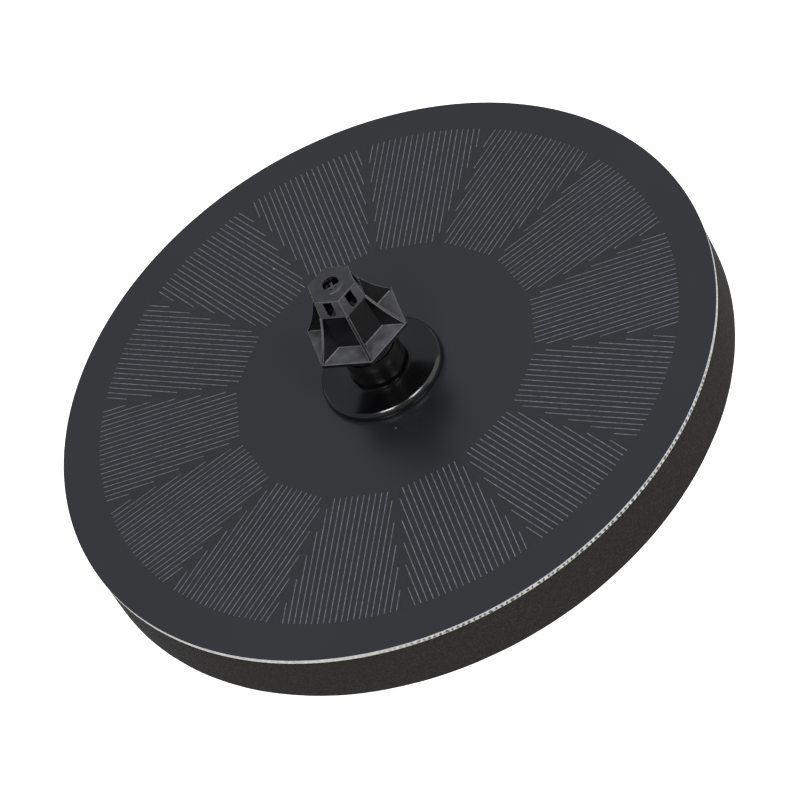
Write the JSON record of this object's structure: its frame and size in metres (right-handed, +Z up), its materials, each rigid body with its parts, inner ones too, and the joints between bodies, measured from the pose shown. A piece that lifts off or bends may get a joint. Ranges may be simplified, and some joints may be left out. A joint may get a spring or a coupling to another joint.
{
  "type": "floating solar fountain pump",
  "caption": "Round floating solar panel on a foam ring, with a submersible pump under its middle and a six-sided spray head on a collared tube above.",
  "frame": {"origin": "middle of the strainer's underside, on the axis of the disc, the motor and the nozzle", "axes": "+Z up along the nozzle; +X from the axis towards the pump's side duct; the leads enter at -X"},
  "size_m": [0.18, 0.18, 0.0742],
  "materials": {
    "panel_film": "satin textured PET film",
    "silicon": "dark blue-black, polished",
    "glass_fibre_board": "routed pale edge",
    "float_foam": "cut closed-cell EVA foam, dull, fine grain",
    "black_plastic": "moulded ABS, semi-gloss",
    "seal_rubber": "moulded, dull",
    "electrical_steel": "stacked laminations",
    "copper_winding": "enamelled wire",
    "green_board": "solder mask",
    "chip_epoxy": "moulded epoxy",
    "capacitor_body": "fired ceramic",
    "potting_resin": "cast, glossy",
    "red_insulation": "extruded PVC",
    "black_insulation": "extruded PVC",
    "white_ceramic": "ground alumina",
    "ferrite": "ground ferrite",
    "impeller_plastic": "moulded acetal",
    "stainless_steel": "plain",
    "filter_sponge": "open-cell sponge"
  },
  "bodies": {
    "float": {"front_film": "panel_film", "solar_cell_01": "silicon", "solar_cell_02": "silicon", "solar_cell_03": "silicon", "solar_cell_04": "silicon", "solar_cell_05": "silicon", "solar_cell_06": "silicon", "solar_cell_07": "silicon", "solar_cell_08": "silicon", "solar_cell_09": "silicon", "solar_cell_10": "silicon", "solar_cell_11": "silicon", "solar_cell_12": "silicon", "solar_cell_13": "silicon", "solar_cell_14": "silicon", "panel_board": "glass_fibre_board", "foam_float": "float_foam", "flange_collar": "black_plastic", "housing_lid": "black_plastic", "panel_gasket": "seal_rubber", "spigot_o_ring": "seal_rubber", "pump_housing": "black_plastic", "rotor_well": "black_plastic", "stator_core": "electrical_steel", "stator_coil_1": "copper_winding", "stator_coil_2": "copper_winding", "stator_coil_3": "copper_winding", "stator_coil_4": "copper_winding", "driver_board": "green_board", "driver_chip": "chip_epoxy", "driver_capacitor": "capacitor_body", "potting_layer": "potting_resin", "lead_positive": "red_insulation", "lead_negative": "black_insulation", "lead_grommet": "seal_rubber", "rotor_shaft": "white_ceramic", "shaft_seat_upper": "seal_rubber", "shaft_seat_lower": "seal_rubber", "thrust_washer_upper": "white_ceramic", "thrust_washer_lower": "white_ceramic", "chamber_cover": "black_plastic", "chamber_seal": "seal_rubber", "cover_screw_1": "stainless_steel", "cover_screw_2": "stainless_steel", "cover_screw_3": "stainless_steel"},
    "rotor": {"magnet_rotor": "ferrite", "impeller": "impeller_plastic"},
    "nozzle": {"riser_tube": "black_plastic", "spray_core": "black_plastic"},
    "head": {"spray_head": "black_plastic"},
    "strainer": {"strainer_cover": "black_plastic", "strainer_sponge": "filter_sponge"}
  },
  "joints": [
    {"name": "impeller_spin", "type": "hinge", "parent": "float", "child": "rotor", "pos_m": [0, 0, 0.017], "axis": [0, 0, 1], "continuous": true},
    {"name": "nozzle_pull", "type": "slide", "parent": "float", "child": "nozzle", "axis": [0, 0, 1], "range_m": [0, 0.02]},
    {"name": "head_turn", "type": "hinge", "parent": "nozzle", "child": "head", "pos_m": [0, 0, 0.065], "axis": [0, 0, 1], "continuous": true},
    {"name": "strainer_pull", "type": "slide", "parent": "float", "child": "strainer", "axis": [0, 0, -1], "range_m": [0, 0.015]}
  ]
}
